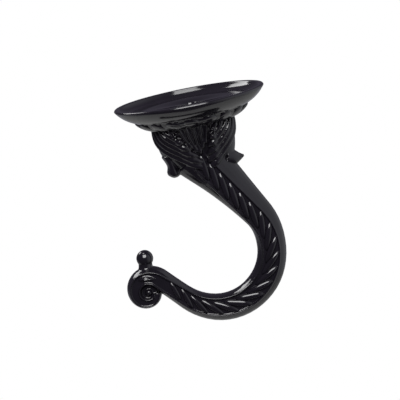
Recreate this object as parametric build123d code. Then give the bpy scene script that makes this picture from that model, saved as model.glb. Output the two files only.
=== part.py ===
from build123d import *
from math import atan2, cos, degrees, radians, sin, tan
import os

# Cast hook that is screwed up against a ceiling. Millimetres, +Z up.
# The origin is the centre of the dish's rim plane, which lies on the ceiling.
# The hook hangs towards -Z in the XZ plane and its tip points to -X.

# Dish that covers the hole in the ceiling
dish_radius = 19.0
lip_width = 1.25
lip_round = 0.4
bowl_depth = 4.05
bowl_foot_radius = 14.3
bowl_bulge = 0.45
recess_depth = 1.8
recess_floor_radius = 15.2
recess_bulge = 0.25

# Tapped hole in the floor of the dish
tap_drill_radius = 1.73
hole_depth = 8.2

# Fluted collar under the dish
collar_inset = 0.35
collar_height = 2.3
collar_bulge = 0.75
flute_count = 18
flute_depth = 0.1
flute_flank_angle = 36.0
flute_slant = 14.0

# Leaf calyx between the collar and the limb
calyx_radius = 9.95
calyx_top_offset = -0.2
calyx_length = 13.2
calyx_foot_half_width = 5.0
calyx_foot_half_depth = 3.0
calyx_foot_offset = 1.7

# Long lobes of the two leaves, which curve in from the sides to the channel
lobe_count = 5
lobe_radius = 0.95
lobe_tip_share = 0.4
lobe_first_angle = 12.0
lobe_last_angle = 68.0
left_lobe_end_angle = 88.0
right_lobe_end_angle = 76.0
lobe_longest_share = 0.86
lobe_shortest_share = 0.2

# Curled tips of the leaves at the sides
left_tip_reach = 8.0
left_tip_drop = 19.6
right_tip_reach = 10.9
right_tip_drop = 17.2

# Limb of the hook: straight stem, round bend, short straight reach to the scroll
stem_angle = 56.0
stem_length = 21.5
bend_radius = 14.0
bend_centre_x = -0.4
bend_centre_z = -40.3
reach_angle = 45.0
reach_length = 8.4

# Half widths of the limb: out of the bend and into the bend from its middle line
stem_top_half_widths = (6.65, 6.75)
stem_middle_half_widths = (5.45, 4.5)
shoulder_half_widths = (4.35, 3.45)
side_half_widths = (3.6, 3.75)
quarter_half_widths = (3.75, 3.8)
saddle_half_widths = (3.65, 3.3)
reach_half_widths = (2.75, 2.75)
scroll_half_widths = (2.5, 2.85)

# Half depths of the limb
stem_half_depth = 5.0
bend_half_depth = 3.2

# Sunk panel between the two ridges of the limb, on both faces
panel_half_width = 2.1
panel_reach_half_width = 1.7
panel_tip_half_width = 1.4
panel_offset = 0.4
panel_depth = 0.5
panel_wall_run = 0.3
band_root = 0.3

# Slanted strands on the panel
strand_pitch = 3.5
strand_length = 6.4
strand_half_width = 0.72
strand_slant = 27.0
strand_sink = 0.3
strand_top_share = 0.45

# Scroll at the tip
scroll_turn = 305.0
scroll_start_radius = 4.1
scroll_end_radius = 2.3
scroll_end_half_width = 1.1
scroll_end_half_depth = 2.3
scroll_end_panel = 0.5
scroll_web_drop = 0.9
eye_radius = 0.75

# Ball on the scroll
ball_radius = 2.15
ball_rise = 8.5
ball_lean = 5.0
neck_radius = 1.75
neck_foot_radius = 2.6


def mix(first, last, share):
    """Value that lies a share of the way from first to last."""
    return first + (last - first) * share


def bulged_arc(start, end, bulge):
    """Arc that stands out by bulge to the left of the way from start to end."""
    start, end = Vector(*start), Vector(*end)
    chord = end - start
    left = Vector(-chord.Y, chord.X).normalized()
    return ThreePointArc(start, (start + end) / 2 + left * bulge, end)


def dish():
    """Shallow round dish that opens upwards, with a flat lip and a collar below."""
    rim = (dish_radius - lip_round, 0)
    lip = (dish_radius, -lip_round)
    foot = (bowl_foot_radius, -bowl_depth)
    collar_top = (bowl_foot_radius - collar_inset, -bowl_depth)
    collar_foot = (calyx_radius, -bowl_depth - collar_height)
    recess_edge = (recess_floor_radius, -recess_depth)
    lip_inside = (dish_radius - lip_width, 0)
    outline = [
        bulged_arc(rim, lip, lip_round * 0.29),
        bulged_arc(lip, foot, bowl_bulge),
        Line(foot, collar_top),
        bulged_arc(collar_top, collar_foot, collar_bulge),
        Line(collar_foot, (0, -bowl_depth - collar_height)),
        Line((0, -bowl_depth - collar_height), (0, -recess_depth)),
        Line((0, -recess_depth), recess_edge),
        bulged_arc(recess_edge, lip_inside, -recess_bulge),
        Line(lip_inside, rim),
    ]
    return revolve(Plane.XZ * make_face(Wire(outline)), Axis.Z)


def flutes():
    """Slanted V grooves that divide the collar into lobes, alike on front and back."""
    top = Vector(bowl_foot_radius - collar_inset, 0, -bowl_depth)
    foot = Vector(calyx_radius, 0, -bowl_depth - collar_height)
    way = foot - top
    seat = Plane(origin=(top + foot) / 2, x_dir=(0, 1, 0), z_dir=(-way.Z, 0, way.X))
    reach = flute_depth + 2 * collar_bulge
    spread = reach * tan(radians(flute_flank_angle))
    groove = Polygon((0, 0), (spread, reach), (-spread, reach), align=None)
    bar = extrude(Plane.XZ * groove, way.length / 2, both=True)
    bar = seat * Pos(0, 0, -flute_depth) * Rot(0, 0, flute_slant) * bar
    pitch = 360 / flute_count
    front = [Rot(0, 0, -pitch * (i + 0.5)) * bar for i in range(flute_count // 2)]
    return front + [mirror(piece, Plane.XZ) for piece in front]


def calyx_size(share):
    """Height, offset, half width and half depth of the calyx, a share of the way down."""
    height = -bowl_depth - collar_height - calyx_length * share
    offset = mix(calyx_top_offset, calyx_foot_offset, share ** 4)
    half_width = mix(calyx_radius, calyx_foot_half_width, share ** 3.5)
    half_depth = mix(calyx_foot_half_depth, calyx_radius, (1 - share) ** 1.35)
    return height, offset, half_width, half_depth


def calyx():
    """Funnel that carries the leaves, round at the collar and flat at its foot."""
    sections = []
    for share in (0, 0.25, 0.5, 0.75, 1):
        height, offset, half_width, half_depth = calyx_size(share)
        sections.append(Pos(offset, 0, height) * Ellipse(half_width, half_depth))
    return loft(sections)


def calyx_point(share, angle, side):
    """Point on the front of the calyx, its angle measured from the leaf's middle."""
    height, offset, half_width, half_depth = calyx_size(share)
    turn = radians(angle)
    return Vector(offset + side * half_width * cos(turn), -half_depth * sin(turn), height)


def lobe(start_angle, end_share, side):
    """One long lobe of a leaf, thickest past its middle and narrow at its tip."""
    swelling = ((0, 0.65), (0.35, 0.85), (0.7, 1), (1, lobe_tip_share))
    end_angle = right_lobe_end_angle if side > 0 else left_lobe_end_angle
    step = 0.01

    def place(way):
        angle = mix(start_angle, end_angle, way ** 2.2)
        return calyx_point(end_share * way, angle, side)

    sections = []
    for way, share in swelling:
        tangent = place(way + step) - place(max(way - step, 0))
        sections.append(Plane(origin=place(way), z_dir=tangent) * Circle(lobe_radius * share))
    return loft(sections, ruled=True)


def lobes():
    """The lobes of both leaves, on the front and the back."""
    front = []
    for i in range(lobe_count):
        share = i / (lobe_count - 1)
        start_angle = mix(lobe_first_angle, lobe_last_angle, share)
        end_share = mix(lobe_longest_share, lobe_shortest_share, share)
        front += [lobe(start_angle, end_share, side) for side in (-1, 1)]
    return front + [mirror(piece, Plane.XZ) for piece in front]


def tongue(sections):
    """Leaf tip lofted through ovals: place, heading, half thickness, half depth."""
    faces = []
    for x, z, heading, half_thickness, half_depth in sections:
        turn = radians(heading)
        seat = Plane(origin=(x, 0, z), x_dir=(-sin(turn), 0, cos(turn)), z_dir=(cos(turn), 0, sin(turn)))
        faces.append(seat * Ellipse(half_thickness, half_depth))
    return loft(faces)


def leaf_tips():
    """Tips of the two leaves: one droops and curls, the other stands out."""
    drooping = tongue([
        (-left_tip_reach, -left_tip_drop + 6, -80, 1.6, 3.2),
        (-left_tip_reach + 0.8, -left_tip_drop + 3.2, -88, 1.35, 2.8),
        (-left_tip_reach + 0.5, -left_tip_drop + 1.1, -100, 1.4, 2),
        (-left_tip_reach + 0.4, -left_tip_drop, -105, 0.9, 1),
    ])
    standing = tongue([
        (right_tip_reach - 4, -right_tip_drop + 0.6, -8, 2.3, 3.2),
        (right_tip_reach - 2.2, -right_tip_drop, -4, 1.8, 2.4),
        (right_tip_reach - 1, -right_tip_drop - 0.1, -2, 0.9, 1.2),
        (right_tip_reach, -right_tip_drop, 0, 0.25, 0.4),
    ])
    return [drooping, standing]


def bend_place(angle):
    """Place and heading of the limb's middle line at an angle round the bend."""
    turn = radians(angle)
    x = bend_centre_x + bend_radius * cos(turn)
    z = bend_centre_z + bend_radius * sin(turn)
    return x, z, angle - 90


def ahead(place, distance):
    """The place moved along its own heading."""
    x, z, heading = place
    turn = radians(heading)
    return x + distance * cos(turn), z + distance * sin(turn), heading


shoulder_angle = 90 - stem_angle
bend_end_angle = -90 - reach_angle
bend_length = bend_radius * radians(shoulder_angle - bend_end_angle)
reach_end = ahead(bend_place(bend_end_angle), reach_length)


def limb_place(distance):
    """Place and heading of the limb's middle line, by distance from the stem's top."""
    past_stem = distance - stem_length
    if past_stem < 0:
        return ahead(bend_place(shoulder_angle), past_stem)
    if past_stem < bend_length:
        return bend_place(shoulder_angle - degrees(past_stem / bend_radius))
    return ahead(bend_place(bend_end_angle), past_stem - bend_length)


def across(place):
    """Plane across the limb: its first direction points out of the bend, its second across."""
    x, z, heading = place
    turn = radians(heading)
    return Plane(origin=(x, 0, z), x_dir=(-sin(turn), 0, cos(turn)), z_dir=(cos(turn), 0, sin(turn)))


def scroll_section(place, half_widths, half_depth, panel):
    """Cross section of the scroll: two round bands and a sunk panel, front and back."""
    out_width, in_width = half_widths
    floor = half_depth - panel_depth
    front = Polyline(
        (panel, half_depth), (panel - panel_wall_run, floor),
        (-panel + panel_wall_run, floor), (-panel, half_depth),
    )
    back = Polyline(
        (-panel, -half_depth), (-panel + panel_wall_run, -floor),
        (panel - panel_wall_run, -floor), (panel, -half_depth),
    )
    outer_band = ThreePointArc((panel, -half_depth), (out_width, 0), (panel, half_depth))
    inner_band = ThreePointArc((-panel, half_depth), (-in_width, 0), (-panel, -half_depth))
    outline = [outer_band] + front.edges() + [inner_band] + back.edges()
    return across(place) * make_face(Wire(outline))


def band_section(distance, side):
    """Cross section of one round band, from its ridges to its root under the panels."""
    half_widths, half_depth, panel = limb_size(distance)
    offset = panel_offset * min((limb_length - distance) / reach_length, 1)
    crest = half_widths[0] if side > 0 else -half_widths[1]
    ridge = side * panel - offset
    root_depth = half_depth - panel_depth - band_root
    root = ridge - side * panel_wall_run * (panel_depth + band_root) / panel_depth
    crown = ThreePointArc((ridge, -half_depth), (crest, 0), (ridge, half_depth))
    rest = Polyline((ridge, half_depth), (root, root_depth), (root, -root_depth), (ridge, -half_depth))
    return across(limb_place(distance)) * make_face(Wire([crown] + rest.edges()))


side_distance = stem_length + bend_radius * radians(shoulder_angle)
quarter_distance = stem_length + bend_radius * radians(shoulder_angle + 45)
saddle_distance = stem_length + bend_radius * radians(shoulder_angle + 90)
limb_length = stem_length + bend_length + reach_length

# Distance, half widths, half depth and panel half width where the limb's size is set
limb_sizes = [
    (0, stem_top_half_widths, stem_half_depth, panel_half_width),
    (stem_length / 2, stem_middle_half_widths, (stem_half_depth + bend_half_depth) / 2, panel_half_width),
    (stem_length, shoulder_half_widths, bend_half_depth, panel_half_width),
    (side_distance, side_half_widths, bend_half_depth, panel_half_width),
    (quarter_distance, quarter_half_widths, bend_half_depth, panel_half_width),
    (saddle_distance, saddle_half_widths, bend_half_depth, panel_half_width),
    (limb_length - reach_length, reach_half_widths, bend_half_depth, panel_reach_half_width),
    (limb_length, scroll_half_widths, bend_half_depth, panel_tip_half_width),
]


def limb_size(distance):
    """Half widths, half depth and panel half width of the limb at a distance."""
    for before, after in zip(limb_sizes, limb_sizes[1:]):
        if distance <= after[0]:
            share = (distance - before[0]) / (after[0] - before[0])
            half_widths = [mix(a, b, share) for a, b in zip(before[1], after[1])]
            return half_widths, mix(before[2], after[2], share), mix(before[3], after[3], share)
    return limb_sizes[-1][1:]


def stations():
    """Distances of the cross sections: where a size is set, and halfway between."""
    distances = [0]
    for before, after in zip(limb_sizes, limb_sizes[1:]):
        distances += [mix(before[0], after[0], 0.5), after[0]]
    return distances


def band(side):
    """Smooth round band along the outside or the inside of the whole limb."""
    return loft([band_section(distance, side) for distance in stations()])


def beside_limb(distance, offset):
    """Point at a distance along the limb, offset out of the bend from its middle line."""
    x, z, heading = limb_place(distance)
    turn = radians(heading)
    return x - offset * sin(turn), z + offset * cos(turn)


def stem_plate():
    """Flat tapering core of the stem, whose two faces are the floors of the panels."""
    width = 2 * (panel_half_width - panel_wall_run) + band_root / 2
    sections = []
    for distance in (0, stem_length):
        x, z = beside_limb(distance, -panel_offset)
        depth = 2 * (limb_size(distance)[1] - panel_depth)
        sections.append(across((x, z, limb_place(distance)[2])) * Rectangle(width, depth))
    return loft(sections, ruled=True)


def bend_plate():
    """Flat core of the bend and the reach, in one plane with both panel floors."""
    bend_start = stations().index(stem_length)
    edges = []
    ends = []
    for side in (1, -1):
        points = []
        for distance in stations()[bend_start:]:
            width = limb_size(distance)[2] - panel_wall_run + band_root / 4
            points.append(beside_limb(distance, side * width - panel_offset))
        edges.append(Spline(points))
        ends.append((points[0], points[-1]))
    edges += [Line(ends[0][0], ends[1][0]), Line(ends[0][1], ends[1][1])]
    floor = bend_half_depth - panel_depth
    return extrude(Plane.XZ * make_face(Wire(edges)), floor, both=True)


def lens(half_length, half_width):
    """Pointed oval between two arcs."""
    upper = ThreePointArc((-half_length, 0), (0, half_width), (half_length, 0))
    lower = ThreePointArc((half_length, 0), (0, -half_width), (-half_length, 0))
    return make_face(Wire([upper, lower]))


def strand():
    """Pointed strand that stands on the panel's floor, drawn on the XY plane."""
    foot = Pos(0, 0, -strand_sink) * lens(strand_length / 2, strand_half_width)
    top_length = strand_length / 2 * mix(1, strand_top_share, 0.4)
    top = Pos(0, 0, panel_depth) * lens(top_length, strand_half_width * strand_top_share)
    return loft([foot, top])


def strands(first, last):
    """Strands on both panels, each slanted from the outer ridge to the inner one."""
    piece = strand()
    placed = []
    for i in range(first, last):
        distance = strand_length / 2 + i * strand_pitch
        x, z = beside_limb(distance, -panel_offset)
        slant = radians(limb_place(distance)[2] - strand_slant)
        for side in (-1, 1):
            seat = Plane(
                origin=(x, side * (limb_size(distance)[1] - panel_depth), z),
                x_dir=(cos(slant), 0, sin(slant)), z_dir=(0, side, 0),
            )
            placed.append(seat * piece)
    return placed


scroll_tightening = (scroll_start_radius - scroll_end_radius) / radians(scroll_turn)
scroll_start_angle = 90 - reach_angle - degrees(atan2(scroll_tightening, scroll_start_radius))
scroll_x = reach_end[0] - scroll_start_radius * cos(radians(scroll_start_angle))
scroll_z = reach_end[1] - scroll_start_radius * sin(radians(scroll_start_angle))


def scroll_place(share):
    """Place and heading of the scroll's middle line, a share of the way round."""
    radius = mix(scroll_start_radius, scroll_end_radius, share)
    angle = scroll_start_angle + scroll_turn * share
    turn = radians(angle)
    heading = angle + 90 + degrees(atan2(scroll_tightening, radius))
    return scroll_x + radius * cos(turn), scroll_z + radius * sin(turn), heading


def scroll():
    """Spiral that the limb ends in, with its web and the round eye in the middle."""
    sections = []
    for i in range(9):
        share = i / 8
        half_widths = [mix(width, scroll_end_half_width, share) for width in scroll_half_widths]
        half_depth = mix(bend_half_depth, scroll_end_half_depth, share)
        panel = mix(panel_tip_half_width, scroll_end_panel, share)
        sections.append(scroll_section(scroll_place(share), half_widths, half_depth, panel))
    web_half_depth = scroll_end_half_depth - scroll_web_drop
    axis = Plane(origin=(scroll_x, 0, scroll_z), z_dir=(0, 1, 0))
    web = axis * Cylinder(scroll_end_radius, 2 * web_half_depth)
    eyes = [Pos(scroll_x, side * web_half_depth, scroll_z) * Sphere(eye_radius) for side in (-1, 1)]
    return [loft(sections), web] + eyes


def ball():
    """Ball on a short neck on top of the scroll."""
    turn = radians(90 - ball_lean)
    up = Vector(cos(turn), 0, sin(turn))
    centre = Vector(scroll_x, 0, scroll_z) + up * ball_rise
    neck_height = ball_rise - scroll_start_radius + 0.5
    foot = Plane(origin=centre - up * neck_height, z_dir=up)
    top = Plane(origin=centre - up * ball_radius * 0.4, z_dir=up)
    neck = loft([foot * Circle(neck_foot_radius), top * Circle(neck_radius)])
    return [neck, Pos(centre) * Sphere(ball_radius)]


def tapped_hole():
    """Blind hole for the fixing thread, at its tapping size."""
    return Pos(0, 0, -recess_depth - hole_depth / 2) * Cylinder(tap_drill_radius, hole_depth)


def hook_casting():
    """The whole casting as one solid."""
    stem_strands = int(stem_length / strand_pitch)
    all_strands = int((limb_length - strand_length / 2) / strand_pitch)
    hook = stem_plate() + strands(0, stem_strands)
    hook += bend_plate()
    hook += strands(stem_strands, all_strands)
    hook += [band(1), band(-1)]
    hook += scroll() + ball()
    body = dish() - flutes()
    body += [calyx()] + lobes() + leaf_tips()
    body += hook
    return body - tapped_hole()


os.makedirs("parts", exist_ok=True)
casting = hook_casting()
size = casting.bounding_box().size
print("solids", len(casting.solids()), "volume", round(casting.volume, 1))
print("size", [round(value, 2) for value in (size.X, size.Y, size.Z)])
export_step(casting.solids()[0], "parts/hook_casting.step")
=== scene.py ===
# %% [markdown]
# # A cast ceiling hook, dipped in black enamel
# The hook is one zinc die casting: a round dish that lies on the ceiling, a calyx of two leaves,
# a bent limb with a rope of slanted strands on both faces, and a scroll with a small ball.
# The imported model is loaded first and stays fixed. Everything is made round it, in the same frame,
# so that no piece has to be fitted afterwards.

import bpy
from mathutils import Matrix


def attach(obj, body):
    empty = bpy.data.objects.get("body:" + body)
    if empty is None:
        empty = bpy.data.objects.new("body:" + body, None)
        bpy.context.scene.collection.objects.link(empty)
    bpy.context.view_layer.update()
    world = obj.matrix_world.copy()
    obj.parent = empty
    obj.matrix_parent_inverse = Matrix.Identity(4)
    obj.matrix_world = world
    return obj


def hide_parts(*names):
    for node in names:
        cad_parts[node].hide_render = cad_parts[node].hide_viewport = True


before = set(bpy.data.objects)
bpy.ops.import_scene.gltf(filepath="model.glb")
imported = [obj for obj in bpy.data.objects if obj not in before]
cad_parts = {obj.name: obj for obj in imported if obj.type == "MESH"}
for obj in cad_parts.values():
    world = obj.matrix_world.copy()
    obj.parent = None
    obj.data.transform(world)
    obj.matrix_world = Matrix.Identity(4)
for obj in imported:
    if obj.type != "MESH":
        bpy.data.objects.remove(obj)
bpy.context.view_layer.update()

# %% [markdown]
# ## Camera
# The camera stands about half a metre off, a little above the hook, and is rolled so that the
# dish rises to the right. A long lens keeps the sides of the small object nearly parallel. The
# rolled camera's sideways and upward directions are worked out from the level ones.

# %% Camera
from math import asin, atan2, cos, degrees, radians, sin, sqrt, tau

import bmesh
import bpy
from mathutils import Matrix, Vector

camera_azimuth = radians(2.0)
camera_elevation = radians(9.5)
camera_roll = radians(11.0)
camera_distance = 0.55
camera_aim = Vector((-0.0021, 0, -0.02635))
focal_length_pixels = 2186
picture_width_pixels = 400

towards_camera = Vector((
    sin(camera_azimuth) * cos(camera_elevation),
    -cos(camera_azimuth) * cos(camera_elevation),
    sin(camera_elevation),
))
level_right = (-towards_camera).cross(Vector((0, 0, 1))).normalized()
level_up = level_right.cross(-towards_camera)
right = level_right * cos(camera_roll) - level_up * sin(camera_roll)
up = level_right * sin(camera_roll) + level_up * cos(camera_roll)

camera = bpy.data.objects.new("camera", bpy.data.cameras.new("camera"))
bpy.context.scene.collection.objects.link(camera)
bpy.context.scene.camera = camera
turn = Matrix((right, up, towards_camera)).transposed().to_4x4()
camera.matrix_world = Matrix.Translation(camera_aim + towards_camera * camera_distance) @ turn
camera.data.sensor_width = 36
camera.data.lens = camera.data.sensor_width * focal_length_pixels / picture_width_pixels
camera.data.clip_start = 0.01
print("lens in mm:", round(camera.data.lens, 1))

# %% [markdown]
# ## One helper for colours, one for nodes
# Colours are written as the eye reads them, in sRGB hex, and one function makes them linear.
# One small function adds a node with its settings and its links.

# %% Colour and node helpers
def linear(code):
    """Linear colour for an sRGB hex code."""
    shares = [int(code[i:i + 2], 16) / 255 for i in (1, 3, 5)]
    return [value / 12.92 if value <= 0.04045 else ((value + 0.055) / 1.055) ** 2.4 for value in shares] + [1]


def add(tree, kind, links=(), **settings):
    """Adds a node. A setting goes to the node where it has one of that name, else to its socket."""
    node = tree.nodes.new(kind)
    for name, value in settings.items():
        if name.startswith("socket_"):
            node.inputs[int(name.removeprefix("socket_"))].default_value = value
        elif hasattr(node, name):
            setattr(node, name, value)
        else:
            node.inputs[name.replace("_", " ")].default_value = value
    for source, target in links:
        tree.links.new(source, node.inputs[target])
    return node


# %% [markdown]
# ## The room that the enamel mirrors
# A gloss black object shows little but what it mirrors, so the room matters as much as the lamps.
# A white sheet runs down behind the hook and on below it. It gives the dish its pale underside and
# the limb its pale edges. A white board stands at the right, and the rest of the room is dark and
# keeps the faces black. Only mirrored rays see this room. The camera sees plain white, and a faint
# even light fills the shadows.

# %% Room
room_dark = linear("#4f4c57")
sheet_white = linear("#d2d4da")
fill_strength = 0.2

world = bpy.data.worlds.new("studio")
bpy.context.scene.world = world
# the plain view transform shows a colour as it is written
bpy.context.scene.view_settings.view_transform = "Standard"
world.use_nodes = True
room = world.node_tree
room.nodes.clear()

direction = add(room, "ShaderNodeTexCoord")
axes = add(room, "ShaderNodeSeparateXYZ", [(direction.outputs["Generated"], 0)])
below = add(room, "ShaderNodeMapRange", [(axes.outputs["Z"], "Value")],
            interpolation_type="SMOOTHSTEP", From_Min=0.05, From_Max=-0.75)
behind = add(room, "ShaderNodeMapRange", [(axes.outputs["Y"], "Value")],
             interpolation_type="SMOOTHSTEP", From_Min=-0.15, From_Max=0.5)
on_sheet = add(room, "ShaderNodeMath", [(below.outputs[0], 0), (behind.outputs[0], 1)],
               operation="MULTIPLY")
on_board = add(room, "ShaderNodeMapRange", [(axes.outputs["X"], "Value")],
               interpolation_type="SMOOTHSTEP", From_Min=0.25, From_Max=0.95)
on_white = add(room, "ShaderNodeMath", [(on_sheet.outputs[0], 0), (on_board.outputs[0], 1)],
               operation="MAXIMUM")
mirrored_colour = add(room, "ShaderNodeMix", [(on_white.outputs[0], "Factor")], data_type="RGBA")
mirrored_colour.inputs["A"].default_value = room_dark
mirrored_colour.inputs["B"].default_value = sheet_white

rays = add(room, "ShaderNodeLightPath")
is_mirrored = add(room, "ShaderNodeMath", operation="MAXIMUM", links=[
    (rays.outputs["Is Glossy Ray"], 0), (rays.outputs["Is Transmission Ray"], 1)])
fill = add(room, "ShaderNodeBackground", Color=linear("#ffffff"), Strength=fill_strength)
seen = add(room, "ShaderNodeBackground", Color=linear("#ffffff"), Strength=1.0)
mirrored = add(room, "ShaderNodeBackground", [(mirrored_colour.outputs["Result"], "Color")], Strength=1.0)
inside = add(room, "ShaderNodeMixShader", [
    (is_mirrored.outputs[0], 0), (fill.outputs[0], 1), (mirrored.outputs[0], 2)])
whole = add(room, "ShaderNodeMixShader", [
    (rays.outputs["Is Camera Ray"], 0), (inside.outputs[0], 1), (seen.outputs[0], 2)])
add(room, "ShaderNodeOutputWorld", [(whole.outputs[0], "Surface")])
print("nodes in the room:", len(room.nodes))

# %% [markdown]
# ## Three soft boxes
# A lamp shows in gloss enamel as its own mirror image, so each glint has its own lamp. The one
# overhead gives the long glint in the dish. The one in front gives the short glints on the strands
# and leaves, and it is wide, because a narrow lamp would leave them thin as hairs. The one at the
# left and behind gives the streak inside the bend.

# %% Lamps
def lamp(name, place, aim, width, height, watts):
    """Soft rectangular lamp at a place, aimed at a point, sizes in metres."""
    light = bpy.data.lights.new(name, "AREA")
    light.shape = "RECTANGLE"
    light.size = width
    light.size_y = height
    light.energy = watts
    lamp_object = bpy.data.objects.new(name, light)
    bpy.context.scene.collection.objects.link(lamp_object)
    lamp_object.location = place
    lamp_object.rotation_euler = (Vector(aim) - Vector(place)).to_track_quat("-Z", "Y").to_euler()


hook_middle = (0, 0, -0.025)
lamp("overhead soft box", (0.015, -0.08, 0.72), hook_middle, width=0.30, height=0.30, watts=2.0)
lamp("left soft box", (-0.36, 0.36, 0.42), hook_middle, width=0.26, height=0.26, watts=1.3)
lamp("front soft box", (0.02, -0.48, 0.38), hook_middle, width=0.46, height=0.42, watts=6.6)
print("lamps:", [light.name for light in bpy.data.lights])

# %% [markdown]
# ## The floor
# A sheet of white paper lies well below the hook and takes its soft shadow. To the camera it glows
# a little, so that it comes out as white as the room. It lies behind the hook, because paper right
# under it would light the leaves from below.

# %% Floor
floor_half_width = 0.4
floor_middle = (0, 0.38, -0.35)
floor_glow_share = 0.85


def paper():
    """White paper that the camera sees as nearly pure white, with the shadow left on it."""
    material = bpy.data.materials.new("white paper floor")
    material.use_nodes = True
    tree = material.node_tree
    tree.nodes.clear()
    matte = add(tree, "ShaderNodeBsdfDiffuse", Color=linear("#d2d2d2"))
    glow = add(tree, "ShaderNodeEmission", Color=linear("#ffffff"), Strength=1.1)
    rays = add(tree, "ShaderNodeLightPath")
    share = add(tree, "ShaderNodeMath", [(rays.outputs["Is Camera Ray"], 0)],
                operation="MULTIPLY", socket_1=floor_glow_share)
    both = add(tree, "ShaderNodeMixShader", [
        (share.outputs[0], 0), (matte.outputs[0], 1), (glow.outputs[0], 2)])
    add(tree, "ShaderNodeOutputMaterial", [(both.outputs[0], "Surface")])
    return material


floor_shape = bmesh.new()
bmesh.ops.create_grid(floor_shape, x_segments=1, y_segments=1, size=floor_half_width)
bmesh.ops.translate(floor_shape, verts=floor_shape.verts[:], vec=floor_middle)
floor_mesh = bpy.data.meshes.new("floor")
floor_shape.to_mesh(floor_mesh)
floor_shape.free()
floor = bpy.data.objects.new("floor", floor_mesh)
bpy.context.scene.collection.objects.link(floor)
floor.data.materials.append(paper())
print("floor in m:", [round(side, 2) for side in floor.dimensions])

# %% [markdown]
# ## Black enamel over die-cast zinc
# The casting is dipped or sprayed with a stoved gloss enamel. The coat is near black with a faint
# plum tint, flows out smooth, and lies a little thicker in the hollows. The eye gets crisp small
# glints that waver slightly, because the coat has the faint ripple of orange peel. Enamel has an
# IOR near 1.5 and a low roughness.

# %% Black enamel
orange_peel_mm = 1.1
tint_patch_mm = 5.0


def black_enamel():
    """Gloss black stoved enamel: tint in soft patches, roughness that wavers, fine orange peel."""
    material = bpy.data.materials.new("black stoved enamel")
    material.use_nodes = True
    tree = material.node_tree
    shader = tree.nodes["Principled BSDF"]
    where = add(tree, "ShaderNodeTexCoord")
    patches = add(tree, "ShaderNodeTexNoise", [(where.outputs["Object"], "Vector")],
                  Scale=1000 / tint_patch_mm, Detail=2.0, Roughness=0.5)
    tint = add(tree, "ShaderNodeMix", [(patches.outputs["Fac"], "Factor")], data_type="RGBA")
    tint.inputs["A"].default_value = linear("#0d0c10")
    tint.inputs["B"].default_value = linear("#17141b")
    tree.links.new(tint.outputs["Result"], shader.inputs["Base Color"])
    gloss = add(tree, "ShaderNodeMapRange", [(patches.outputs["Fac"], "Value")], To_Min=0.09, To_Max=0.14)
    tree.links.new(gloss.outputs[0], shader.inputs["Roughness"])
    peel = add(tree, "ShaderNodeTexNoise", [(where.outputs["Object"], "Vector")],
               Scale=1000 / orange_peel_mm, Detail=1.0, Roughness=0.4)
    ripple = add(tree, "ShaderNodeBump", [(peel.outputs["Fac"], "Height")], Strength=0.1, Distance=0.00002)
    tree.links.new(ripple.outputs[0], shader.inputs["Normal"])
    shader.inputs["IOR"].default_value = 1.5
    return material


enamel = black_enamel()
print("finish:", enamel.name)

# %% [markdown]
# ## Sizes that change along the way
# Nearly everything on the hook swells, tapers or turns on its way. A few rows of sizes say how,
# and a smooth curve through them gives every size between, as a French curve does on paper.
# Everything is drawn in millimetres first.

# %% Smooth sizes
def between(first, last, share):
    """Value at a share of the way from the first to the last."""
    return first + (last - first) * share


def flow(rows, at):
    """Sizes at a position, on a smooth curve through rows that start with their position."""
    at = min(max(at, rows[0][0]), rows[-1][0])
    places = [row[0] for row in rows]
    values = [Vector(row[1:]) for row in rows]
    i = max(k for k in range(len(rows) - 1) if places[k] <= at)

    def slope(k):
        low, high = max(k - 1, 0), min(k + 1, len(rows) - 1)
        return (values[high] - values[low]) / (places[high] - places[low])

    span = places[i + 1] - places[i]
    t = (at - places[i]) / span
    return (values[i] * (2 * t**3 - 3 * t**2 + 1) + slope(i) * span * (t**3 - 2 * t**2 + t)
            + values[i + 1] * (3 * t**2 - 2 * t**3) + slope(i + 1) * span * (t**3 - t**2))


# %% [markdown]
# ## Bars drawn along stations
# Leaf ribs, the round bands of the limb, the strands and the scroll are all one idea: a small flat
# outline is pushed along a line, and changes its size and direction on the way. In Blender that is
# a face extruded again and again, and carried on by a matrix at each station. Extruding leaves the
# old face behind. The first one closes the bar's foot, and each later one is deleted, because a
# wall inside the bar would spoil its smooth shading.

# %% Bars
def sweep(bm, face, stations):
    """Carries a flat face through the stations, so that it leaves a closed bar."""
    bmesh.ops.transform(bm, matrix=stations[0], verts=face.verts[:])
    for k, (here, there) in enumerate(zip(stations, stations[1:])):
        grown = bmesh.ops.extrude_face_region(bm, geom=[face])["geom"]
        if k > 0:
            bmesh.ops.delete(bm, geom=[face], context="FACES_ONLY")
        face = next(part for part in grown if isinstance(part, bmesh.types.BMFace))
        bmesh.ops.transform(bm, matrix=there @ here.inverted(), verts=face.verts[:])


def round_face(bm, segments):
    """Flat round face of radius 1."""
    ring = bmesh.ops.create_circle(bm, cap_ends=True, radius=1, segments=segments)["verts"]
    return ring[0].link_faces[0]


def square_face(bm):
    """Flat square face from -1 to 1."""
    corners = bmesh.ops.create_grid(bm, x_segments=1, y_segments=1, size=1)["verts"]
    return corners[0].link_faces[0]


def in_plane(x, z, heading):
    """Place across a line in the middle plane: X points out of the bend, Z along the line."""
    turn = radians(heading)
    axes = Matrix(((-sin(turn), 0, cos(turn)), (0, 1, 0), (cos(turn), 0, sin(turn)))).transposed()
    return Matrix.Translation((x, 0, z)) @ axes.to_4x4()


def sized(x=1, y=1, z=1):
    """Scaling along the three axes."""
    return Matrix.Diagonal((x, y, z, 1))


# %% [markdown]
# ## The limb's line and sizes
# The limb runs straight down from the leaves, round a bend, and in a short straight reach to the
# scroll. Its middle line is a straight, an arc and a straight, and a distance along it gives a
# point and a heading. It tapers down the stem and swells a little in the bend, where the load is.

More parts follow.
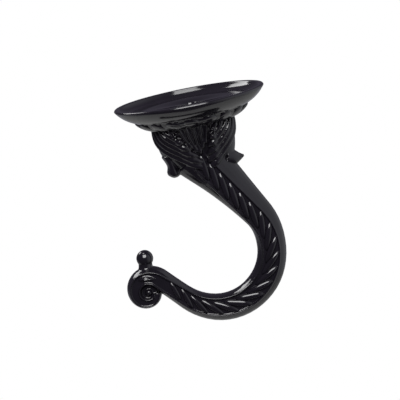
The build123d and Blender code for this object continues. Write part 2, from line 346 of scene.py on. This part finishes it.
# %% Line of the limb
stem_angle, stem_length = 56.0, 21.5
bend_radius, bend_x, bend_z = 14.0, -0.4, -40.3
reach_angle, reach_length = 45.0, 8.4
shoulder_angle = 90 - stem_angle
bend_end_angle = -90 - reach_angle
bend_length = bend_radius * radians(shoulder_angle - bend_end_angle)
limb_length = stem_length + bend_length + reach_length


def ahead(x, z, heading, distance):
    """Moves on along a heading."""
    return x + distance * cos(radians(heading)), z + distance * sin(radians(heading)), heading


def bend_place(angle):
    """Point and heading on the bend's middle line."""
    return bend_x + bend_radius * cos(radians(angle)), bend_z + bend_radius * sin(radians(angle)), angle - 90


def limb_place(distance):
    """Point and heading of the limb's middle line, at a distance from the stem's top."""
    past_stem = distance - stem_length
    if past_stem < 0:
        return ahead(*bend_place(shoulder_angle), past_stem)
    if past_stem < bend_length:
        return bend_place(shoulder_angle - degrees(past_stem / bend_radius))
    return ahead(*bend_place(bend_end_angle), past_stem - bend_length)


wide_panel = 2.1
# distance, half width outside, half width inside, half depth, half width of the panel
limb_rows = [
    (0, 6.65, 6.75, 5.0, wide_panel),
    (stem_length / 2, 5.45, 4.5, 4.1, wide_panel),
    (stem_length, 4.35, 3.45, 3.2, wide_panel),
    (stem_length + bend_radius * radians(shoulder_angle), 3.6, 3.75, 3.2, wide_panel),
    (stem_length + bend_radius * radians(shoulder_angle + 45), 3.75, 3.8, 3.2, wide_panel),
    (stem_length + bend_radius * radians(shoulder_angle + 90), 3.65, 3.3, 3.2, wide_panel),
    (stem_length + bend_length, 2.75, 2.75, 3.2, 1.7),
    (limb_length, 2.5, 2.85, 3.2, 1.4),
]
print("limb length in mm:", round(limb_length, 1))

# %% [markdown]
# ## Two round bands and a sunk panel
# On the real casting the limb's inside and outside are round bands that end in a fine ridge on
# each face, and the panel between them is sunk half a millimetre. One oval bar couldn't have those
# ridges. So the bands are half-moon bars, the panel is a flat bar between them, and a thin bead
# softens each ridge as the enamel does.

# %% Limb
panel_depth = 0.5
panel_offset = 0.4
bead_radius = 0.2


def half_moon_face(bm, segments=36):
    """Half-moon face: its flat side from -1 to 1 on the Y axis, its bow out to 1 on the X axis."""
    cut = 0.6
    face = round_face(bm, segments)
    kept = bmesh.ops.bisect_plane(bm, geom=[face, *face.edges, *face.verts], dist=1e-6,
                                  plane_co=(cut, 0, 0), plane_no=(1, 0, 0), clear_inner=True)
    face = next(part for part in kept["geom"] if isinstance(part, bmesh.types.BMFace))
    bmesh.ops.translate(bm, verts=face.verts[:], vec=(-cut, 0, 0))
    bmesh.ops.scale(bm, verts=face.verts[:], vec=(1 / (1 - cut), 1 / sqrt(1 - cut**2), 1))
    return face


def ribbon(bm, frames, sizes):
    """Two round bands, their ridge beads and the sunk panel between them, along frames."""
    for side, width in ((1, 0), (-1, 1)):
        band = []
        beads = {-1: [], 1: []}
        for frame_here, (*widths, depth, panel, offset) in zip(frames, sizes):
            ridge = side * panel - offset
            crest = side * widths[width] - ridge
            band.append(frame_here @ Matrix.Translation((ridge, 0, 0)) @ sized(crest, depth))
            for face_side in beads:
                middle = Matrix.Translation((
                    ridge + side * bead_radius * 0.6, face_side * (depth - bead_radius * 0.9), 0,
                ))
                beads[face_side].append(frame_here @ middle @ sized(bead_radius, bead_radius))
        sweep(bm, half_moon_face(bm), band)
        for row in beads.values():
            sweep(bm, round_face(bm, 8), row)
    core = []
    for frame_here, (*_, depth, panel, offset) in zip(frames, sizes):
        middle = Matrix.Translation((-offset, 0, 0))
        core.append(frame_here @ middle @ sized(panel * 1.05, depth - panel_depth))
    sweep(bm, square_face(bm), core)


hook = bmesh.new()
limb_steps = 48
distances = [limb_length * i / limb_steps for i in range(limb_steps + 1)]
limb_sizes = []
for distance in distances:
    fade = min((limb_length - distance) / reach_length, 1)
    limb_sizes.append((*flow(limb_rows, distance), panel_offset * fade))
ribbon(hook, [in_plane(*limb_place(distance)) for distance in distances], limb_sizes)
print("faces so far:", len(hook.faces))

# %% [markdown]
# ## The rope of strands
# The sunk panel on each face is filled with a row of slanted strands, like the lay of a rope. Each
# strand is full and proud along its middle and runs out quickly to a thin tip at both ends, so that
# its upper end catches the light. One strand is a tapered bar of ovals, and copies of it are set
# down along the limb at an even pitch. They stay apart from the other bars, because the melting
# further down would blunt them.

# %% Strands
strand_pitch = 3.5
strand_length = 7.4
strand_slant = 26.0
first_strand = 3.2
# share of the way along a strand, its half width, half its thickness, its height over the panel
strand_rows = [
    (0, 0.15, 0.1, -0.08), (0.11, 0.57, 0.42, 0.06), (0.32, 0.78, 0.6, 0.2), (0.65, 0.76, 0.58, 0.18),
    (0.89, 0.55, 0.4, 0.05), (1, 0.15, 0.1, -0.08),
]


def as_mesh(bm, name):
    """Turns a bmesh into mesh data, with its faces outward."""
    bmesh.ops.recalc_face_normals(bm, faces=bm.faces[:])
    mesh = bpy.data.meshes.new(name)
    bm.to_mesh(mesh)
    bm.free()
    return mesh


def set_down(bm, mesh, place):
    """Puts a copy of a mesh into a bmesh, at a place."""
    before = len(bm.verts)
    bm.from_mesh(mesh)
    bm.verts.ensure_lookup_table()
    bmesh.ops.transform(bm, matrix=place, verts=bm.verts[before:])


strand = bmesh.new()
strand_steps = 20
across = Matrix.Rotation(radians(90), 4, "Y")
frames = []
for k in range(strand_steps + 1):
    half_width, half_thickness, height = flow(strand_rows, k / strand_steps)
    middle = Vector((strand_length * (k / strand_steps - 0.5), height, 0))
    frames.append(Matrix.Translation(middle) @ across @ sized(half_width, half_thickness))
sweep(strand, round_face(strand, 24), frames)
strand_mesh = as_mesh(strand, "strand")

rope = bmesh.new()
strand_count = int((limb_length - strand_length / 2) / strand_pitch)
for i in range(strand_count):
    distance = first_strand + i * strand_pitch
    *_, depth, panel = flow(limb_rows, distance)
    x, z, heading = limb_place(distance)
    x += panel_offset * sin(radians(heading))
    z -= panel_offset * cos(radians(heading))
    lay = Matrix.Rotation(-radians(heading - strand_slant), 4, "Y")
    snug = sized(panel / wide_panel, 1, panel / wide_panel)
    for side in (-1, 1):
        place = Matrix.Translation((x, side * (depth - panel_depth), z)) @ sized(1, side, 1) @ lay @ snug
        set_down(rope, strand_mesh, place)
print("strands on each face:", strand_count)

# %% [markdown]
# ## The scroll
# The limb ends in a volute that curls over, down and in again, round a small eye. Its bands grow
# slimmer on the way. The same bars make it, along a spiral whose radius shrinks evenly and whose
# first heading is that of the straight reach, so that one flows into the other. A thin disc closes
# the middle, and the eye is a ball sunk in it.

# %% Scroll and eye
scroll_turn = 305.0
scroll_start, scroll_end = 4.1, 2.3
disc_depth = 2.8
eye_radius, eye_x, eye_y, eye_z = 0.85, 0.15, 1.5, -0.1

tightening = (scroll_start - scroll_end) / radians(scroll_turn)
scroll_start_angle = 90 - reach_angle - degrees(atan2(tightening, scroll_start))
reach_x, reach_z, _ = limb_place(limb_length)
scroll_x = reach_x - scroll_start * cos(radians(scroll_start_angle))
scroll_z = reach_z - scroll_start * sin(radians(scroll_start_angle))
# share of the way, half width outside and inside, half depth, half width of the panel, its offset
scroll_rows = [(0, *limb_rows[-1][1:], 0), (0.35, 2.0, 2.1, 3.0, 1.1, 0), (1, 1.1, 1.1, 2.4, 0.5, 0)]


def scroll_place(share):
    """Point and heading on the spiral's middle line."""
    radius = between(scroll_start, scroll_end, share)
    angle = scroll_start_angle + scroll_turn * share
    heading = angle + 90 + degrees(atan2(tightening, radius))
    return scroll_x + radius * cos(radians(angle)), scroll_z + radius * sin(radians(angle)), heading


scroll_steps = 36
shares = [i / scroll_steps for i in range(scroll_steps + 1)]
scroll_frames = [in_plane(*scroll_place(share)) for share in shares]
ribbon(hook, scroll_frames, [flow(scroll_rows, share) for share in shares])

facing = Matrix.Rotation(radians(90), 4, "X")
bmesh.ops.create_cone(hook, cap_ends=True, segments=32, radius1=scroll_end, radius2=scroll_end,
                      depth=disc_depth, matrix=Matrix.Translation((scroll_x, 0, scroll_z)) @ facing)
for side in (-1, 1):
    middle = (scroll_x + eye_x, side * eye_y, scroll_z + eye_z)
    bmesh.ops.create_uvsphere(hook, u_segments=20, v_segments=14, radius=eye_radius,
                              matrix=Matrix.Translation(middle))
print("scroll middle in mm:", round(scroll_x, 2), round(scroll_z, 2))

# %% [markdown]
# ## The ball
# A ball on a short neck stands on top of the scroll and keeps a chain from slipping off. It leans
# a little outwards. The neck is a bar of rounds that flares at its foot, as a casting needs, and
# runs up into the ball.

# %% Ball and neck
ball_radius = 2.15
ball_height = 8.5
ball_lean = radians(5)
neck_length, neck_steps = 4.2, 7
neck_foot = 5.0
# height over the neck's foot, radius
neck_rows = [(0, 3.6, 0), (1.2, 2.5, 0), (2.6, 1.85, 0), (neck_length, 1.72, 0)]

ball_up = Vector((sin(ball_lean), 0, cos(ball_lean)))
ball_middle = Vector((scroll_x, 0, scroll_z)) + ball_up * ball_height
upright = Matrix.Rotation(ball_lean, 4, "Y")
bmesh.ops.create_uvsphere(hook, u_segments=40, v_segments=28, radius=ball_radius,
                          matrix=Matrix.Translation(ball_middle) @ upright)
neck = []
for k in range(neck_steps + 1):
    height = neck_length * k / neck_steps
    radius = flow(neck_rows, height)[0]
    middle = ball_middle + ball_up * (height - neck_foot)
    neck.append(Matrix.Translation(middle) @ upright @ sized(radius, radius))
sweep(hook, round_face(hook, 32), neck)
print("top of the ball in mm:", round(ball_middle.z + ball_radius, 2))

# %% [markdown]
# ## The calyx
# Between the dish and the limb sits a calyx, and the body below its leaves is a funnel, round at
# the top and flat at its foot. It is one bar of ovals. The hole for the ceiling fixing runs down
# through the dish and ends in here, so the funnel's top is inset to the hole's edge and pushed
# down.

# %% Calyx
collar_foot_height = -6.35
calyx_radius, calyx_length = 9.95, 13.2
calyx_foot_width, calyx_foot_depth = 5.0, 3.0
calyx_offset, calyx_foot_shift = -0.2, 1.9
hole_radius, hole_bottom = 1.73, -10.0
hole_clearance = 0.1


def calyx_size(share):
    """Height, offset, half width and half depth of the funnel, a share of the way down."""
    height = collar_foot_height - calyx_length * share
    offset = calyx_offset + calyx_foot_shift * share**4
    half_width = between(calyx_radius, calyx_foot_width, share**3.5)
    half_depth = between(calyx_foot_depth, calyx_radius, (1 - share)**1.35)
    return height, offset, half_width, half_depth


funnel_steps = 16
funnel = []
for i in range(funnel_steps + 1):
    height, offset, half_width, half_depth = calyx_size(i / funnel_steps)
    funnel.append(Matrix.Translation((offset, 0, height)) @ sized(half_width, half_depth))
funnel_top = round_face(hook, 64)
sweep(hook, funnel_top, funnel)
bmesh.ops.inset_region(hook, faces=[funnel_top], use_even_offset=True,
                       thickness=calyx_radius - hole_radius - hole_clearance)
bottom = bmesh.ops.extrude_face_region(hook, geom=[funnel_top])["geom"]
bmesh.ops.delete(hook, geom=[funnel_top], context="FACES_ONLY")
bmesh.ops.translate(hook, vec=(0, 0, hole_bottom - collar_foot_height),
                    verts=[part for part in bottom if isinstance(part, bmesh.types.BMVert)])
print("foot of the calyx in mm:", round(collar_foot_height - calyx_length, 2))

# %% [markdown]
# ## The leaves
# Two broad leaves clasp the calyx, one on each side. Their long ribs sweep down and in to a channel
# on the front and the back, and a few slim veins run down in that channel. Each rib is a bar of
# small rounds that follows the funnel, swells on the way and ends in a blunt tip that stands proud.
# The ribs of a leaf are spaced evenly from its long lower edge to its short top one.

# %% Ribs and veins
rib_count = 6
rib_steps = 14
rib_segments = 12
# the longest rib of a leaf and the shortest: angle round the funnel where it starts, share of the
# funnel's length where it ends, radius
longest_start, longest_end_share, longest_radius = 3, 0.92, 0.85
shortest_start, shortest_end_share, shortest_radius = 55, 0.16, 0.70
shortest_end_angle = 64
left_end_angle, right_end_angle = 96, 82
# share of the way along a rib, its size, how far it stands out of the funnel
rib_rows = [(0, 0.6, 0.15), (0.3, 0.85, 0.3), (0.7, 0.85, 0.35), (0.88, 1.25, 0.8), (1, 0.5, 0.5)]


def rib_frames(start_angle, end_angle, end_share, radius, leaf_side, face_side):
    """Places of the rounds along one rib."""
    def on_funnel(way, stand=0.0):
        height, offset, half_width, half_depth = calyx_size(end_share * way)
        angle = radians(between(start_angle, end_angle, way**1.4))
        return Vector((
            offset + leaf_side * (half_width + stand) * cos(angle),
            face_side * (half_depth + stand) * sin(angle), height,
        ))

    frames = []
    for k in range(rib_steps + 1):
        way = k / rib_steps
        size, stand = flow(rib_rows, way)
        along = (on_funnel(way + 0.01) - on_funnel(way - 0.01 if k else 0)).normalized()
        out = on_funnel(way, 1) - on_funnel(way)
        out = (out - along * out.dot(along)).normalized()
        turn = Matrix((out, along.cross(out), along)).transposed().to_4x4()
        middle = Matrix.Translation(on_funnel(way, stand * radius))
        frames.append(middle @ turn @ sized(radius * size, radius * size))
    return frames


for leaf_side, longest_end_angle in ((-1, left_end_angle), (1, right_end_angle)):
    for i in range(rib_count):
        share = i / (rib_count - 1)
        start_angle = between(longest_start, shortest_start, share)
        end_share = between(longest_end_share, shortest_end_share, share)
        end_angle = between(longest_end_angle, shortest_end_angle, share**1.5)
        radius = between(longest_radius, shortest_radius, share)
        for face_side in (-1, 1):
            frames = rib_frames(start_angle, end_angle, end_share, radius, leaf_side, face_side)
            sweep(hook, round_face(hook, rib_segments), frames)

vein_radius = 0.45
# start angle, end angle, share of the funnel's length where a vein ends
vein_rows = [(70, 84, 0.45), (80, 90, 0.55), (90, 94, 0.6), (100, 98, 0.5), (110, 102, 0.4)]
for start_angle, end_angle, end_share in vein_rows:
    for face_side in (-1, 1):
        frames = rib_frames(start_angle, end_angle, end_share, vein_radius, -1, face_side)
        sweep(hook, round_face(hook, rib_segments), frames)
print("ribs on each leaf face:", rib_count, "veins on each face:", len(vein_rows))

# %% [markdown]
# ## The leaf tips
# At the sides the two leaves end in tips that leave the limb: one droops and curls in, the other
# stands straight out in a point. Each is a bar of ovals in the middle plane.

# %% Leaf tips
# station, x, z, heading, half thickness, half depth
drooping_rows = [
    (0, -8.0, -13.6, -80, 1.6, 3.2), (1, -7.3, -16.2, -88, 1.3, 2.8), (2, -7.3, -18.2, -98, 1.6, 2.2),
    (3, -7.35, -19.1, -102, 1.3, 1.5), (3.4, -7.4, -19.55, -104, 0.4, 0.5),
]
standing_rows = [
    (0, 6.9, -16.6, -8, 2.3, 3.2), (1, 8.7, -17.2, -4, 1.75, 2.4), (2, 9.9, -17.3, -2, 0.9, 1.2),
    (3, 10.9, -17.2, 0, 0.22, 0.3),
]
tip_steps = 14
for rows in (drooping_rows, standing_rows):
    last = rows[-1][0]
    frames = []
    for k in range(tip_steps + 1):
        x, z, heading, half_thickness, half_depth = flow(rows, last * k / tip_steps)
        frames.append(in_plane(x, z, heading) @ sized(half_thickness, half_depth))
    sweep(hook, round_face(hook, 24), frames)
print("faces in all bars:", len(hook.faces))

# %% [markdown]
# ## One skin
# So far the hook is a heap of bars that run through each other. In the mould they were one hollow,
# with every corner a little round, and the enamel rounds them more. A voxel remesh melts the heap
# into one closed skin, a light smoothing takes the steps out of it, and a decimation takes faces
# away where the skin is even. The remesh also leaves a few specks of one voxel in tight corners,
# so only what hangs together with the bend's lowest point is kept.

# %% Melt the bars into one casting
voxel_mm = 0.15
kept_share = 0.45

skin_object = bpy.data.objects.new("skin", as_mesh(hook, "bars"))
bpy.context.scene.collection.objects.link(skin_object)
melt = skin_object.modifiers.new("melt", "REMESH")
melt.mode = "VOXEL"
melt.voxel_size = voxel_mm
ease = skin_object.modifiers.new("ease", "SMOOTH")
ease.factor = 0.5
ease.iterations = 2
thin = skin_object.modifiers.new("thin", "DECIMATE")
thin.ratio = kept_share
evaluated = skin_object.evaluated_get(bpy.context.evaluated_depsgraph_get())
skin = bmesh.new()
skin.from_mesh(evaluated.to_mesh())
evaluated.to_mesh_clear()
bpy.data.objects.remove(skin_object)

found = [min(skin.verts, key=lambda vert: vert.co.z)]
joined = set(found)
while found:
    for edge in found.pop().link_edges:
        for vert in edge.verts:
            if vert not in joined:
                joined.add(vert)
                found.append(vert)
specks = [vert for vert in skin.verts if vert not in joined]
print("points in specks:", len(specks), "of", len(skin.verts))
bmesh.ops.delete(skin, geom=specks, context="VERTS")

# %% [markdown]
# ## The pieces of the hook
# A finished piece is in metres, has the enamel, rides on the one body and stands in place of the
# packed casting. The limb with its leaves and scroll is one piece, the strands are another.

# %% Finished pieces
def to_metres(bm):
    """Scales a bmesh from millimetres to metres."""
    bmesh.ops.scale(bm, vec=(0.001, 0.001, 0.001), verts=bm.verts[:])


def finished(name, mesh):
    """Makes a piece of the casting, in enamel, that rides on the part in place of its node."""
    mesh.shade_smooth()
    mesh.calc_loop_triangles()
    print(name, "triangles:", len(mesh.loop_triangles))
    piece = bpy.data.objects.new(name, mesh)
    bpy.context.scene.collection.objects.link(piece)
    piece.data.materials.append(enamel)
    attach(piece, "root")
    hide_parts("hook_casting")


to_metres(skin)
skin_mesh = bpy.data.meshes.new("leaf_hook")
skin.to_mesh(skin_mesh)
skin.free()
finished("leaf_hook", skin_mesh)

to_metres(rope)
finished("rope_strands", as_mesh(rope, "rope_strands"))

# %% [markdown]
# ## The dish
# The dish is round in every part, so it is an outline spun about the upright axis: hole, floor,
# curved wall, flat lip, bowed underside and collar. A point is drawn on from place to place,
# straight or in an arc, and each arc is itself a small spin.

# %% Dish
spin_steps = 144
collar_top = (13.95, -4.05)
collar_foot = (calyx_radius, collar_foot_height)
# x, z, bulge to the left of the way
dish_outline = [
    (hole_radius, -6.1, 0), (hole_radius, -2.0, 0), (1.95, -1.8, 0), (14.9, -1.8, 0), (15.5, -1.65, -0.04),
    (17.6, -0.1, -0.22), (17.85, 0, 0.025), (18.55, 0, 0), (18.99, -0.44, 0.128), (14.45, -3.95, 0.45),
    (14.25, -4.1, 0.03), (*collar_top, -0.05), (*collar_foot, 0.75), (hole_radius, collar_foot_height, 0),
]


def draw_to(bm, vert, end, bulge=0.0, steps=8):
    """Draws an outline in the XZ plane on to end, as an arc where it bulges to the left of its way."""
    start = vert.co.copy()
    chord = Vector((end[0], 0, end[1])) - start
    if not bulge:
        vert = bmesh.ops.extrude_vert_indiv(bm, verts=[vert])["verts"][0]
        bmesh.ops.translate(bm, verts=[vert], vec=chord)
        return vert
    half = chord.length / 2
    radius = (half**2 + bulge**2) / (2 * bulge)
    left = Vector((-chord.z, 0, chord.x)).normalized()
    centre = start + chord / 2 + left * (bulge - radius)
    drawn = bmesh.ops.spin(bm, geom=[vert], cent=centre, axis=(0, 1, 0),
                           angle=2 * asin(half / radius), steps=steps)["geom_last"]
    return next(part for part in drawn if isinstance(part, bmesh.types.BMVert))


dish = bmesh.new()
vert = dish.verts.new((dish_outline[0][0], 0, dish_outline[0][1]))
for x, z, bulge in dish_outline[1:]:
    vert = draw_to(dish, vert, (x, z), bulge)
draw_to(dish, vert, dish_outline[0][:2])
print("points in the outline:", len(dish.verts))
bmesh.ops.spin(dish, geom=dish.verts[:] + dish.edges[:], cent=(0, 0, 0), axis=(0, 0, 1), angle=tau,
               steps=spin_steps, use_merge=True)
bmesh.ops.remove_doubles(dish, verts=dish.verts[:], dist=0.002)

# %% [markdown]
# ## The collar's lobes
# The collar under the dish is divided into soft slanted lobes all round. Each lobe is a squashed
# ball, laid on the collar's slope. They lean one way on the front and the other way on the back,
# because the mould's two halves mirror each other.

# %% Lobes of the collar
lobe_count = 18
lobe_place = (12.15, 0, -5.3)
lobe_lean = radians(14)
lobe_half_sizes = (0.8, 2.15, 2.75)

slope = atan2(collar_top[0] - collar_foot[0], collar_top[1] - collar_foot[1])
lobe = (
    Matrix.Translation(lobe_place) @ Matrix.Rotation(slope, 4, "Y") @ Matrix.Rotation(lobe_lean, 4, "X")
    @ sized(*lobe_half_sizes)
)
for i in range(lobe_count // 2):
    angle = -tau * (i + 0.5) / lobe_count
    for mirror_side in (1, -1):
        place = sized(1, mirror_side, 1) @ Matrix.Rotation(angle, 4, "Z") @ lobe
        bmesh.ops.create_uvsphere(dish, u_segments=20, v_segments=14, radius=1, matrix=place)
to_metres(dish)
finished("ceiling_dish", as_mesh(dish, "ceiling_dish"))
